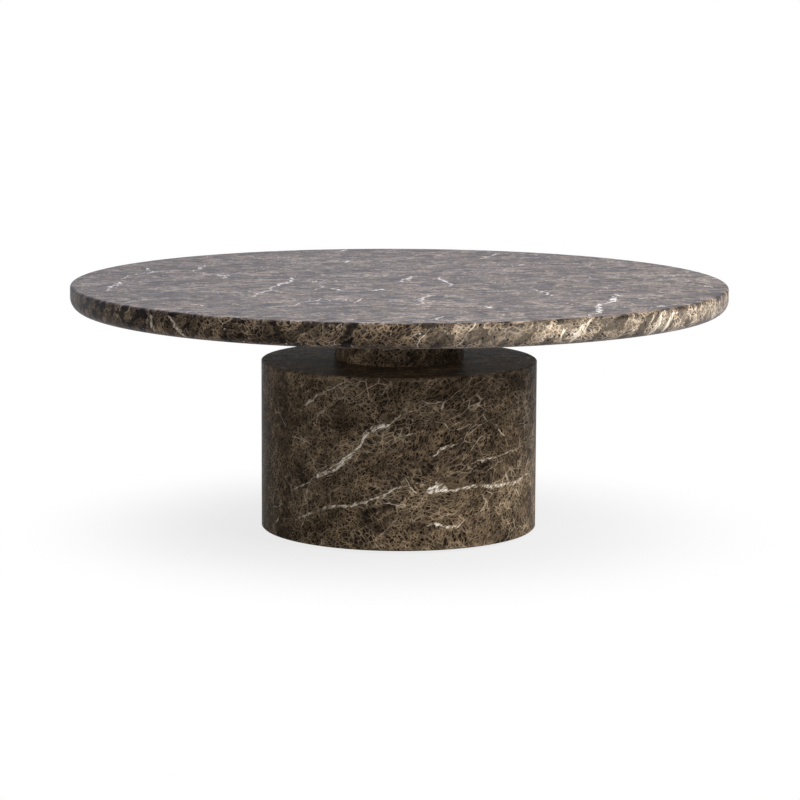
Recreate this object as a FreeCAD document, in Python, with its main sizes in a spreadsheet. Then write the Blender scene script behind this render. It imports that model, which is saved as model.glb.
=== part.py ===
"""Round cocktail table: a thick stone top on a short stone neck and a wide stone drum.

The stone stands on a plywood carcass inside the drum. Four tie rods run from a steel hub let into the
underside of the top, down through the neck, and clamp the top to the carcass. Four levelling feet screw
into the ring at the foot of the drum.

Frame: millimetres, +Z up, origin on the floor at the centre of the drum. Pieces are modelled at their own
lowest face and lifted to their place by their Placement.
"""

import FreeCAD, Part
import os

import Sketcher

# Driving dimensions: name, millimetres, meaning
DIMENSIONS = (
    ("top_diameter", 1067, "stone top, across"),
    ("top_thickness", 40, "stone top, upper face to underside"),
    ("top_upper_round", 5, "round over the upper edge of the top"),
    ("top_lower_round", 20, "large round under the lower edge of the top"),
    ("neck_diameter", 211, "stone neck, across"),
    ("neck_height", 86, "shadow gap between drum and top, gaskets included"),
    ("neck_bore", 100, "hole through neck and drum cap for the core tube"),
    ("drum_diameter", 450, "stone drum, across"),
    ("drum_height", 275, "stone drum, lower edge to upper face"),
    ("drum_wall", 20, "stone shell of the drum"),
    ("cap_thickness", 20, "stone face on top of the drum"),
    ("stone_arris", 1.5, "eased edge on drum and neck"),
    ("mitre_gap", 0.3, "glue line between cap and shell, measured outwards"),
    ("ring_cover", 10, "stone left outside the rebate at the foot of the shell"),
    ("slip_clearance", 0.3, "gap around pieces that slide into each other"),
    ("running_clearance", 0.1, "gap around threads and pivots"),
    ("stop_gap", 0.3, "gap between a levelling foot and its stops"),
    ("gasket_thickness", 1, "cork-rubber rings above and below the neck"),
    ("gasket_inset", 6, "gaskets set back from the face of the neck"),
    ("core_wall", 4, "wall of the core tube"),
    ("core_end_gap", 0.5, "core tube, short of the hub"),
    ("anchor_diameter", 190, "flange of the hub under the top"),
    ("anchor_thickness", 8, "flange of the hub, let in flush"),
    ("spigot_depth", 10, "spigot of the hub, down into the core tube"),
    ("anchor_screw_diameter", 8, "countersunk screws through the flange"),
    ("screw_tip_gap", 3, "anchor screws, short of the end of their inserts"),
    ("insert_diameter", 14, "threaded inserts in the top"),
    ("insert_length", 20, "threaded inserts in the top"),
    ("rod_diameter", 10, "tie rods"),
    ("rod_inset", 16, "tie rod axis, in from the bore of the core tube"),
    ("rod_tail", 6, "tie rod showing below its nut"),
    ("clamp_diameter", 120, "steel plate under the bulkhead"),
    ("clamp_thickness", 8, "steel plate under the bulkhead"),
    ("washer_diameter", 20, "washers under the clamp nuts"),
    ("washer_thickness", 2, "washers under the clamp nuts"),
    ("nut_flats", 16, "clamp nuts, across flats"),
    ("nut_height", 10, "clamp nuts"),
    ("bulkhead_thickness", 24, "plywood disc under the cap"),
    ("rib_thickness", 24, "plywood ribs"),
    ("rib_width", 60, "plywood ribs, measured towards the axis"),
    ("ring_thickness", 24, "plywood ring at the foot of the drum"),
    ("ring_width", 90, "plywood ring, from its edge in to the hand hole"),
    ("wood_screw_diameter", 5, "screws into the ends of the ribs"),
    ("wood_screw_length", 50, "screws into the ends of the ribs"),
    ("wood_screw_spread", 30, "distance between the two screws of a rib end"),
    ("foot_gap", 5, "floor to the lower edge of the drum"),
    ("foot_travel", 12, "how far a levelling foot screws out"),
    ("stem_diameter", 10, "threaded stem of a foot"),
    ("stem_chamfer", 1, "upper end of a stem, and both ends of a tie rod"),
    ("hex_flats", 17, "hexagon of a stem, across flats"),
    ("hex_height", 6, "hexagon of a stem"),
    ("pivot_diameter", 12, "lower end of a stem, in the socket of its pad"),
    ("pivot_depth", 5, "lower end of a stem, in the socket of its pad"),
    ("pad_diameter", 50, "pad of a foot, across"),
    ("pad_height", 8, "pad of a foot"),
    ("pad_rim", 3, "height of the straight rim of a pad"),
    ("pad_edge", 1, "eased lower edge of a pad"),
    ("pad_hub_wall", 7, "wall around the socket of a pad"),
    ("barrel_diameter", 14, "flanged insert of a foot, in the ring"),
    ("barrel_length", 18, "flanged insert of a foot, above its flange"),
    ("flange_diameter", 24, "flanged insert of a foot"),
    ("flange_thickness", 2.5, "flanged insert of a foot"),
)

# How many of each repeated piece
ANCHOR_SCREWS = 6
TIE_RODS = 4
RIBS = 4
FEET = 4

# Feet stand midway between the ribs
QUARTER_TURN = 360 / RIBS
FOOT_TURN = QUARTER_TURN / 2

# Heights above the floor, worked out from the driving dimensions
RING_UNDERSIDE = "(dims.pad_height + dims.hex_height + 2 * dims.stop_gap)"
RING_TOP = f"({RING_UNDERSIDE} + dims.ring_thickness)"
DRUM_TOP = "(dims.foot_gap + dims.drum_height)"
BULKHEAD_TOP = f"({DRUM_TOP} - dims.cap_thickness)"
BULKHEAD_UNDERSIDE = f"({BULKHEAD_TOP} - dims.bulkhead_thickness)"
CLAMP_UNDERSIDE = f"({BULKHEAD_UNDERSIDE} - dims.clamp_thickness)"
WASHER_UNDERSIDE = f"({CLAMP_UNDERSIDE} - dims.washer_thickness)"
NUT_UNDERSIDE = f"({WASHER_UNDERSIDE} - dims.nut_height)"
ROD_FOOT = f"({NUT_UNDERSIDE} - dims.rod_tail)"
TOP_UNDERSIDE = f"({DRUM_TOP} + dims.neck_height)"

# Lengths worked out from the driving dimensions
RIB_HEIGHT = f"({BULKHEAD_UNDERSIDE} - {RING_TOP})"
NECK_STONE = "(dims.neck_height - 2 * dims.gasket_thickness)"
CORE_LENGTH = "(dims.cap_thickness + dims.neck_height - dims.core_end_gap)"
ROD_LENGTH = f"({TOP_UNDERSIDE} + dims.anchor_thickness - {ROD_FOOT})"
REBATE_HEIGHT = f"({RING_TOP} - dims.foot_gap)"
ANCHOR_SCREW_LENGTH = "(dims.anchor_thickness + dims.insert_length - dims.screw_tip_gap)"
RING_BITE = "(dims.wood_screw_length - dims.ring_thickness)"
BULKHEAD_BITE = "(dims.wood_screw_length - dims.bulkhead_thickness)"
STEM_LENGTH = (
    "(dims.pivot_depth + dims.hex_height + dims.stop_gap"
    " + dims.flange_thickness + dims.barrel_length + dims.foot_travel)"
)
STEM_FOOT = "(dims.pad_height + dims.stop_gap - dims.pivot_depth)"
PAD_FLOOR = f"({STEM_FOOT} - dims.stop_gap)"

# Radii worked out from the driving dimensions
DRUM_RADIUS = "(dims.drum_diameter / 2)"
SHELL_BORE = f"({DRUM_RADIUS} - dims.drum_wall)"
DRUM_RIM = f"({DRUM_RADIUS} - dims.stone_arris)"
REBATE_RADIUS = f"({DRUM_RADIUS} - dims.ring_cover)"
RING_RADIUS = f"({REBATE_RADIUS} - dims.slip_clearance)"
BULKHEAD_RADIUS = f"({SHELL_BORE} - dims.slip_clearance)"
CORE_RADIUS = "(dims.neck_bore / 2 - dims.slip_clearance)"
CORE_BORE = f"({CORE_RADIUS} - dims.core_wall)"
SPIGOT_RADIUS = f"({CORE_BORE} - dims.slip_clearance)"
ROD_CIRCLE = f"({CORE_BORE} - dims.rod_inset)"
ROD_HOLE = "(dims.rod_diameter / 2 + dims.running_clearance)"
ANCHOR_RADIUS = "(dims.anchor_diameter / 2)"
ANCHOR_SCREW_CIRCLE = f"(({CORE_RADIUS} + {ANCHOR_RADIUS}) / 2)"
ANCHOR_SCREW_RADIUS = "(dims.anchor_screw_diameter / 2)"
ANCHOR_SCREW_HOLE = f"({ANCHOR_SCREW_RADIUS} + dims.running_clearance)"
ACCESS_RADIUS = f"({RING_RADIUS} - dims.ring_width)"
FOOT_CIRCLE = f"({RING_RADIUS} - dims.ring_width / 2)"
RIB_OUTSIDE = f"sqrt({BULKHEAD_RADIUS} ^ 2 - (dims.rib_thickness / 2) ^ 2)"
RIB_MIDDLE = f"({RIB_OUTSIDE} - dims.rib_width / 2)"
RIB_SCREW_CIRCLES = (
    f"({RIB_MIDDLE} - dims.wood_screw_spread / 2)",
    f"({RIB_MIDDLE} + dims.wood_screw_spread / 2)",
)
WOOD_SCREW_RADIUS = "(dims.wood_screw_diameter / 2)"
WOOD_SCREW_HOLE = f"({WOOD_SCREW_RADIUS} + dims.running_clearance)"
STEM_RADIUS = "(dims.stem_diameter / 2)"
STEM_HOLE = f"({STEM_RADIUS} + dims.running_clearance)"
PAD_RADIUS = "(dims.pad_diameter / 2)"
PAD_SOCKET = "(dims.pivot_diameter / 2 + dims.running_clearance)"

# The mitre runs from the sharp outer corner of the drum to the foot of the cap; the arris takes its tip off
MITRE_SHARE = "(dims.stone_arris / (dims.drum_wall + dims.cap_thickness))"
MITRE_RADIUS = f"({DRUM_RADIUS} - dims.drum_wall * {MITRE_SHARE})"
MITRE_HEIGHT = f"(dims.cap_thickness - dims.cap_thickness * {MITRE_SHARE})"

UPWARDS = FreeCAD.Vector(0, 0, 1)

doc = FreeCAD.newDocument("cocktail_table")


# Helpers: the sheet, bodies, sketches and features


def fill_sheet():
    """The spreadsheet of driving dimensions, one named cell each."""
    sheet = doc.addObject("Spreadsheet::Sheet", "dims")
    for row, (name, millimetres, meaning) in enumerate(DIMENSIONS, start=1):
        sheet.set(f"A{row}", meaning)
        sheet.set(f"B{row}", str(millimetres))
        sheet.setAlias(f"B{row}", name)
    doc.recompute()
    return sheet


sheet = fill_sheet()


def size(expression):
    """The present value of an expression, in millimetres."""
    return float(sheet.evalExpression(expression))


def new_body(label, height="0", turn=0):
    """An empty body whose lowest face lies at that height above the floor, turned about the table's axis."""
    body = doc.addObject("PartDesign::Body", label)
    body.Label = label
    body.Placement.Rotation = FreeCAD.Rotation(UPWARDS, turn)
    body.setExpression("Placement.Base.z", height)
    return body


def origin(body, role):
    """One of the body's own origin planes or axes."""
    return next(f for f in body.Origin.OriginFeatures if f.Role == role)


def new_sketch(body, plane, x="0", y="0", z="0", turn=0):
    """An empty sketch on one of the body's origin planes, shifted and turned in the plane's own axes."""
    sketch = body.newObject("Sketcher::SketchObject", f"{body.Label}_sketch")
    sketch.AttachmentSupport = (origin(body, plane), [""])
    sketch.MapMode = "FlatFace"
    sketch.AttachmentOffset = FreeCAD.Placement(FreeCAD.Vector(), FreeCAD.Rotation(UPWARDS, turn))
    for axis, shift in (("x", x), ("y", y), ("z", z)):
        sketch.setExpression(f"AttachmentOffset.Base.{axis}", shift)
    return sketch


def hold(sketch, kind, where, expression):
    """A dimension of the sketch, bound to an expression."""
    index = sketch.addConstraint(Sketcher.Constraint(kind, *where, size(expression)))
    name = f"{kind.lower()}_{index}"
    sketch.renameConstraint(index, name)
    sketch.setExpression(f"Constraints.{name}", expression)


def draw_outline(sketch, corners):
    """A closed outline of straight lines, each corner held by its two distances from the sketch's origin."""
    points = [FreeCAD.Vector(size(x), size(y), 0) for x, y in corners]
    count = len(points)
    sketch.addGeometry([Part.LineSegment(points[i], points[(i + 1) % count]) for i in range(count)])
    for i, (x, y) in enumerate(corners):
        sketch.addConstraint(Sketcher.Constraint("Coincident", i, 2, (i + 1) % count, 1))
        hold(sketch, "DistanceX", (-1, 1, i, 1), x)
        hold(sketch, "DistanceY", (-1, 1, i, 1), y)


def draw_circle(sketch, radius, x="0"):
    """A circle on the sketch's horizontal axis."""
    centre = FreeCAD.Vector(size(x), 0, 0)
    index = sketch.addGeometry(Part.Circle(centre, UPWARDS, size(radius)))
    sketch.addConstraint(Sketcher.Constraint("PointOnObject", index, 3, -1))
    hold(sketch, "DistanceX", (-1, 1, index, 3), x)
    hold(sketch, "Radius", (index,), radius)


def revolve(body, corners, x="0"):
    """A turned solid: the outline, as (radius, height) corners, spun about a vertical axis at distance x."""
    sketch = new_sketch(body, "XZ_Plane", x=x)
    draw_outline(sketch, corners)
    feature = body.newObject("PartDesign::Revolution", f"{body.Label}_turned")
    feature.Profile = sketch
    feature.ReferenceAxis = (sketch, ["V_Axis"])
    feature.Angle = 360
    doc.recompute()
    return feature


def pad(body, sketch, length):
    """The sketch raised into a solid."""
    feature = body.newObject("PartDesign::Pad", f"{body.Label}_pad")
    feature.Profile = sketch
    feature.setExpression("Length", length)
    doc.recompute()
    return feature


def must_cut(body, before):
    """Stops the build if the last feature took nothing away."""
    if body.Tip.Shape.Volume >= before - 1e-3:
        raise RuntimeError(f"{body.Tip.Name} cut nothing from {body.Label}")


def pocket(body, sketch, depth=None, upwards=True):
    """The sketch cut out of the body, to a depth or right through."""
    before = body.Tip.Shape.Volume
    feature = body.newObject("PartDesign::Pocket", f"{body.Label}_pocket")
    feature.Profile = sketch
    feature.Reversed = upwards
    if depth is None:
        feature.Type = "ThroughAll"
    else:
        feature.setExpression("Length", depth)
    doc.recompute()
    must_cut(body, before)
    return feature


def screw_hole(body, sketch, radius, head, kind="Countersink", head_depth=None, upwards=True):
    """A hole right through for a headed screw or flanged insert, at each circle of the sketch."""
    before = body.Tip.Shape.Volume
    doc.recompute()
    feature = body.newObject("PartDesign::Hole", f"{body.Label}_hole")
    feature.Profile = sketch
    doc.recompute()
    feature.Reversed = upwards
    feature.DepthType = "ThroughAll"
    feature.HoleCutType = kind
    feature.setExpression("Diameter", f"2 * {radius}")
    feature.setExpression("HoleCutDiameter", f"2 * {head}")
    if kind == "Countersink":
        feature.HoleCutCountersinkAngle = 90
    else:
        feature.setExpression("HoleCutDepth", head_depth)
    doc.recompute()
    must_cut(body, before)
    return feature


def repeat_round(body, features, count):
    """The features repeated evenly about the table's axis."""
    pattern = body.newObject("PartDesign::PolarPattern", f"{body.Label}_pattern")
    pattern.Originals = features
    pattern.Axis = (origin(body, "Z_Axis"), [""])
    pattern.Angle = 360
    pattern.Occurrences = count
    body.Tip = pattern
    doc.recompute()
    return pattern


def rim(body, radius, height):
    """The name of the body's circular edge of that radius at that height."""
    wanted_radius, wanted_height = size(radius), size(height)
    for index, edge in enumerate(body.Tip.Shape.Edges, start=1):
        curve = edge.Curve
        if curve.TypeId != "Part::GeomCircle":
            continue
        if abs(curve.Radius - wanted_radius) < 1e-6 and abs(curve.Center.z - wanted_height) < 1e-6:
            return f"Edge{index}"
    raise RuntimeError(f"{body.Label} has no round edge of radius {wanted_radius} at {wanted_height}")


def dress_rims(body, kind, amount, radius, *heights):
    """A fillet or a chamfer on the circular edges of one radius, at those heights."""
    base = body.Tip
    names = [rim(body, radius, height) for height in heights]
    feature = body.newObject(f"PartDesign::{kind}", f"{body.Label}_{kind.lower()}")
    feature.Base = (base, names)
    feature.setExpression("Radius" if kind == "Fillet" else "Size", amount)
    doc.recompute()
    return feature


def tube_outline(inside, outside, length):
    """The outline of a plain ring or tube, for revolve."""
    return ((inside, "0"), (outside, "0"), (outside, length), (inside, length))


def countersunk_outline(radius, length):
    """Half a countersunk screw, head face at the bottom: the head is twice as wide as the shank."""
    return (
        ("0", "0"),
        (f"2 * {radius}", "0"),
        (radius, radius),
        (radius, length),
        ("0", length),
    )


def wood_screw_outline(length):
    """Half a wood screw, head face at the bottom and a point at the top."""
    point = f"({length} - 2 * {WOOD_SCREW_RADIUS})"
    return (
        ("0", "0"),
        (f"2 * {WOOD_SCREW_RADIUS}", "0"),
        (WOOD_SCREW_RADIUS, WOOD_SCREW_RADIUS),
        (WOOD_SCREW_RADIUS, point),
        ("0", length),
    )


def upside_down(corners, length):
    """The same outline standing on its head."""
    return tuple((radius, f"({length}) - ({height})") for radius, height in corners)


def turned_group(label, corners, circles, count, height, turn=0):
    """Separate turned pieces, alike, on one or more circles about the table's axis."""
    body = new_body(label, height, turn)
    pieces = [revolve(body, corners, x=circle) for circle in circles]
    repeat_round(body, pieces, count)
    return body


def hexagon(body, flats, height, x, z="0"):
    """A hexagonal prism at distance x from the table's axis."""
    feature = body.newObject("PartDesign::AdditivePrism", f"{body.Label}_hexagon")
    feature.AttachmentSupport = (origin(body, "XY_Plane"), [""])
    feature.MapMode = "FlatFace"
    feature.Polygon = 6
    feature.setExpression("Circumradius", f"{flats} / sqrt(3)")
    feature.setExpression("Height", height)
    feature.setExpression("AttachmentOffset.Base.x", x)
    feature.setExpression("AttachmentOffset.Base.z", z)
    doc.recompute()
    return feature


def drill_round(body, radius, circle, count, depth=None):
    """Plain holes from the body's lowest face upwards, evenly about the table's axis."""
    sketch = new_sketch(body, "XY_Plane")
    draw_circle(sketch, radius, x=circle)
    repeat_round(body, [pocket(body, sketch, depth)], count)


def disc(label, radius, thickness, height):
    """A plain round plate."""
    body = new_body(label, height)
    sketch = new_sketch(body, "XY_Plane")
    draw_circle(sketch, radius)
    pad(body, sketch, thickness)
    return body


# The stone


def make_top_slab():
    """The top: a thick disc, soft above and full below, with the seat of the hub in its underside."""
    edge = "dims.top_diameter / 2"
    body = disc("top_slab", edge, "dims.top_thickness", TOP_UNDERSIDE)
    dress_rims(body, "Fillet", "dims.top_upper_round", edge, "dims.top_thickness")
    dress_rims(body, "Fillet", "dims.top_lower_round", edge, "0")
    seat = new_sketch(body, "XY_Plane")
    draw_circle(seat, f"{ANCHOR_RADIUS} + dims.slip_clearance")
    pocket(body, seat, "dims.anchor_thickness")
    insert_hole = "dims.insert_diameter / 2 + dims.running_clearance"
    insert_end = "dims.anchor_thickness + dims.insert_length"
    drill_round(body, insert_hole, ANCHOR_SCREW_CIRCLE, ANCHOR_SCREWS, insert_end)
    return body


def make_neck_ring():
    """The neck: a thick stone ring around the core tube."""
    body = new_body("neck_ring", f"{DRUM_TOP} + dims.gasket_thickness")
    outside = "dims.neck_diameter / 2"
    revolve(body, tube_outline("dims.neck_bore / 2", outside, NECK_STONE))
    dress_rims(body, "Chamfer", "dims.stone_arris", outside, "0", NECK_STONE)
    return body


def make_drum_cap():
    """The face on top of the drum, its edge cut to the mitre of the shell."""
    body = new_body("drum_cap", BULKHEAD_TOP)
    bore = "dims.neck_bore / 2"
    corners = (
        (bore, "0"),
        (f"{SHELL_BORE} - dims.mitre_gap", "0"),
        (f"{MITRE_RADIUS} - dims.mitre_gap", MITRE_HEIGHT),
        (f"{DRUM_RIM} - dims.mitre_gap", "dims.cap_thickness"),
        (bore, "dims.cap_thickness"),
    )
    revolve(body, corners)
    return body


def make_drum_shell():
    """The wall of the drum: mitred to the cap above, rebated over the lower ring below."""
    body = new_body("drum_shell", "dims.foot_gap")
    cap_foot = "dims.drum_height - dims.cap_thickness"
    corners = (
        (REBATE_RADIUS, "0"),
        (DRUM_RIM, "0"),
        (DRUM_RADIUS, "dims.stone_arris"),
        (DRUM_RADIUS, "dims.drum_height - dims.stone_arris"),
        (MITRE_RADIUS, f"{cap_foot} + {MITRE_HEIGHT}"),
        (SHELL_BORE, cap_foot),
        (SHELL_BORE, REBATE_HEIGHT),
        (REBATE_RADIUS, REBATE_HEIGHT),
    )
    revolve(body, corners)
    return body


# The fixing of the top


def make_anchor_plate():
    """The hub let into the top: a flange held by countersunk screws, and a spigot for the core tube."""
    body = new_body("anchor_plate", f"{TOP_UNDERSIDE} - dims.spigot_depth")
    flange_top = "dims.spigot_depth + dims.anchor_thickness"
    corners = (
        ("0", "0"),
        (SPIGOT_RADIUS, "0"),
        (SPIGOT_RADIUS, "dims.spigot_depth"),
        (ANCHOR_RADIUS, "dims.spigot_depth"),
        (ANCHOR_RADIUS, flange_top),
        ("0", flange_top),
    )
    revolve(body, corners)
    sketch = new_sketch(body, "XY_Plane", z="dims.spigot_depth")
    draw_circle(sketch, ANCHOR_SCREW_HOLE, x=ANCHOR_SCREW_CIRCLE)
    head = f"({ANCHOR_SCREW_HOLE} + {ANCHOR_SCREW_RADIUS})"
    repeat_round(body, [screw_hole(body, sketch, ANCHOR_SCREW_HOLE, head)], ANCHOR_SCREWS)
    drill_round(body, ROD_HOLE, ROD_CIRCLE, TIE_RODS)
    return body


def make_top_inserts():
    """Threaded inserts bonded into the top, above the hub."""
    corners = tube_outline(ANCHOR_SCREW_HOLE, "dims.insert_diameter / 2", "dims.insert_length")
    height = f"{TOP_UNDERSIDE} + dims.anchor_thickness"
    return turned_group("top_inserts", corners, [ANCHOR_SCREW_CIRCLE], ANCHOR_SCREWS, height)


def make_anchor_screws():
    """Countersunk screws, flush with the underside of the hub's flange."""
    corners = countersunk_outline(ANCHOR_SCREW_RADIUS, ANCHOR_SCREW_LENGTH)
    return turned_group("anchor_screws", corners, [ANCHOR_SCREW_CIRCLE], ANCHOR_SCREWS, TOP_UNDERSIDE)


def make_tie_rods():
    """Threaded rods from the hub down to the clamp nuts, chamfered at both ends."""
    radius = "(dims.rod_diameter / 2)"
    tip = f"{radius} - dims.stem_chamfer"
    corners = (
        ("0", "0"),
        (tip, "0"),
        (radius, "dims.stem_chamfer"),
        (radius, f"{ROD_LENGTH} - dims.stem_chamfer"),
        (tip, ROD_LENGTH),
        ("0", ROD_LENGTH),
    )
    return turned_group("tie_rods", corners, [ROD_CIRCLE], TIE_RODS, ROD_FOOT)


def make_core_tube():
    """The steel tube that lines up cap, neck and hub."""
    body = new_body("core_tube", BULKHEAD_TOP)
    revolve(body, tube_outline(CORE_BORE, CORE_RADIUS, CORE_LENGTH))
    return body


def make_gasket(label, height):
    """A cork-rubber ring on one end of the neck."""
    body = new_body(label, height)
    outside = "dims.neck_diameter / 2 - dims.gasket_inset"
    revolve(body, tube_outline("dims.neck_bore / 2", outside, "dims.gasket_thickness"))
    return body


def make_clamp_plate():
    """The steel plate that spreads the pull of the tie rods under the bulkhead."""
    body = disc("clamp_plate", "dims.clamp_diameter / 2", "dims.clamp_thickness", CLAMP_UNDERSIDE)
    drill_round(body, ROD_HOLE, ROD_CIRCLE, TIE_RODS)
    return body


def make_clamp_washers():
    """Washers under the clamp nuts."""
    corners = tube_outline(ROD_HOLE, "dims.washer_diameter / 2", "dims.washer_thickness")
    return turned_group("clamp_washers", corners, [ROD_CIRCLE], TIE_RODS, WASHER_UNDERSIDE)


def make_clamp_nuts():
    """Hexagon nuts on the tie rods."""
    body = new_body("clamp_nuts", NUT_UNDERSIDE)
    blank = hexagon(body, "dims.nut_flats", "dims.nut_height", ROD_CIRCLE)
    sketch = new_sketch(body, "XY_Plane")
    draw_circle(sketch, ROD_HOLE, x=ROD_CIRCLE)
    thread = pocket(body, sketch, "dims.nut_height")
    repeat_round(body, [blank, thread], TIE_RODS)
    return body


# The carcass


def drill_rib_screws(body, z="0", upwards=True):
    """The countersunk holes for the screws into the ends of the ribs."""
    sketch = new_sketch(body, "XY_Plane", z=z)
    for circle in RIB_SCREW_CIRCLES:
        draw_circle(sketch, WOOD_SCREW_HOLE, x=circle)
    head = f"({WOOD_SCREW_HOLE} + {WOOD_SCREW_RADIUS})"
    repeat_round(body, [screw_hole(body, sketch, WOOD_SCREW_HOLE, head, upwards=upwards)], RIBS)


def make_upper_bulkhead():
    """The plywood disc under the cap."""
    body = disc("upper_bulkhead", BULKHEAD_RADIUS, "dims.bulkhead_thickness", BULKHEAD_UNDERSIDE)
    drill_round(body, ROD_HOLE, ROD_CIRCLE, TIE_RODS)
    drill_rib_screws(body, z="dims.bulkhead_thickness", upwards=False)
    return body


def make_lower_ring():
    """The plywood ring at the foot of the drum, with the hand hole and the seats of the feet."""
    body = new_body("lower_ring", RING_UNDERSIDE)
    revolve(body, tube_outline(ACCESS_RADIUS, RING_RADIUS, "dims.ring_thickness"))
    drill_rib_screws(body)
    sketch = new_sketch(body, "XY_Plane", turn=FOOT_TURN)
    barrel = "(dims.barrel_diameter / 2 + dims.slip_clearance)"
    flange = "(dims.flange_diameter / 2 + dims.slip_clearance)"
    draw_circle(sketch, barrel, x=FOOT_CIRCLE)
    seat = screw_hole(body, sketch, barrel, flange, kind="Counterbore", head_depth="dims.flange_thickness")
    repeat_round(body, [seat], FEET)
    return body


def make_rib(number):
    """One plywood rib, upright against the shell, with pilot holes in both ends."""
    body = new_body(f"carcass_rib_{number}", RING_TOP, turn=(number - 1) * QUARTER_TURN)
    board = new_sketch(body, "XY_Plane", y="-dims.rib_thickness / 2")
    inside = f"{RIB_OUTSIDE} - dims.rib_width"
    corners = (
        (inside, "0"),
        (RIB_OUTSIDE, "0"),
        (RIB_OUTSIDE, "dims.rib_thickness"),
        (inside, "dims.rib_thickness"),
    )
    draw_outline(board, corners)
    pad(body, board, RIB_HEIGHT)
    ends = (("0", RING_BITE, True), (RIB_HEIGHT, BULKHEAD_BITE, False))
    for height, bite, upwards in ends:
        pilot = new_sketch(body, "XY_Plane", z=height)
        for circle in RIB_SCREW_CIRCLES:
            draw_circle(pilot, WOOD_SCREW_HOLE, x=circle)
        pocket(body, pilot, f"{bite} + dims.running_clearance", upwards)
    return body


def make_ring_screws():
    """Wood screws up through the ring into the ribs."""
    corners = wood_screw_outline("dims.wood_screw_length")
    return turned_group("ring_screws", corners, RIB_SCREW_CIRCLES, RIBS, RING_UNDERSIDE)


def make_bulkhead_screws():
    """Wood screws down through the bulkhead into the ribs."""
    length = "dims.wood_screw_length"
    corners = upside_down(wood_screw_outline(length), length)
    return turned_group("bulkhead_screws", corners, RIB_SCREW_CIRCLES, RIBS, f"{BULKHEAD_TOP} - {length}")


# The levelling feet


def make_foot_nuts():
    """Flanged threaded inserts, let flush into the underside of the ring."""
    flange, barrel = "dims.flange_diameter / 2", "dims.barrel_diameter / 2"
    top = "dims.flange_thickness + dims.barrel_length"
    corners = (
        (STEM_HOLE, "0"),
        (flange, "0"),
        (flange, "dims.flange_thickness"),
        (barrel, "dims.flange_thickness"),
        (barrel, top),
        (STEM_HOLE, top),
    )
    return turned_group("foot_nuts", corners, [FOOT_CIRCLE], FEET, RING_UNDERSIDE, FOOT_TURN)


def foot_turn(number):
    """Where a foot stands, in degrees about the table's axis."""
    return FOOT_TURN + (number - 1) * 360 / FEET


def make_foot_stem(number):
    """A threaded stem with its hexagon, standing on a pivot in the socket of its pad."""
    body = new_body(f"foot_stem_{number}", STEM_FOOT, foot_turn(number))
    pivot = "dims.pivot_diameter / 2"
    corners = (
        ("0", "0"),
        (pivot, "0"),
        (pivot, "dims.pivot_depth"),
        (STEM_RADIUS, "dims.pivot_depth"),
        (STEM_RADIUS, f"{STEM_LENGTH} - dims.stem_chamfer"),
        (f"{STEM_RADIUS} - dims.stem_chamfer", STEM_LENGTH),
        ("0", STEM_LENGTH),
    )
    revolve(body, corners, x=FOOT_CIRCLE)
    hexagon(body, "dims.hex_flats", "dims.hex_height", FOOT_CIRCLE, "dims.pivot_depth")
    return body


def make_foot_pad(number):
    """A round pad, sloping up from its rim to the hub around its socket."""
    body = new_body(f"foot_pad_{number}", turn=foot_turn(number))
    hub = f"{PAD_SOCKET} + dims.pad_hub_wall"
    corners = (
        ("0", "0"),
        (f"{PAD_RADIUS} - dims.pad_edge", "0"),
        (PAD_RADIUS, "dims.pad_edge"),
        (PAD_RADIUS, "dims.pad_rim"),
        (hub, "dims.pad_height"),
        (PAD_SOCKET, "dims.pad_height"),
        (PAD_SOCKET, PAD_FLOOR),
        ("0", PAD_FLOOR),
    )
    revolve(body, corners, x=FOOT_CIRCLE)
    return body


def make_parts():
    """Every sub-part, from the top down."""
    parts = [
        make_top_slab(),
        make_top_inserts(),
        make_anchor_plate(),
        make_anchor_screws(),
        make_tie_rods(),
        make_gasket("upper_gasket", f"{TOP_UNDERSIDE} - dims.gasket_thickness"),
        make_neck_ring(),
        make_gasket("lower_gasket", DRUM_TOP),
        make_core_tube(),
        make_drum_cap(),
        make_drum_shell(),
        make_upper_bulkhead(),
        make_clamp_plate(),
        make_clamp_washers(),
        make_clamp_nuts(),
        make_bulkhead_screws(),
        make_ring_screws(),
        make_lower_ring(),
        make_foot_nuts(),
    ]
    parts += [make_rib(number) for number in range(1, RIBS + 1)]
    parts += [make_foot_stem(number) for number in range(1, FEET + 1)]
    parts += [make_foot_pad(number) for number in range(1, FEET + 1)]
    return parts


def write_parts(parts):
    """Checks the whole document, then writes one file for each sub-part."""
    doc.recompute()
    for thing in doc.Objects:
        if "Invalid" in thing.State or "Error" in thing.State:
            raise RuntimeError(f"{thing.Label} failed: {thing.State}")
    for body in parts:
        if body.Shape.isNull() or not body.Shape.isValid():
            raise RuntimeError(f"{body.Label} has no valid shape")
    os.makedirs("parts", exist_ok=True)
    for body in parts:
        body.Shape.exportStep(f"parts/{body.Label}.step")
        print(f"{body.Label}: {len(body.Shape.Solids)} solids, {body.Shape.Volume / 1000:.1f} cm3")


write_parts(make_parts())
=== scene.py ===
"""Round cocktail table of dark brown marble: stone meshes, finishes, studio and camera."""

import math

import bmesh
import bpy
from mathutils import Matrix, Vector


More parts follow.
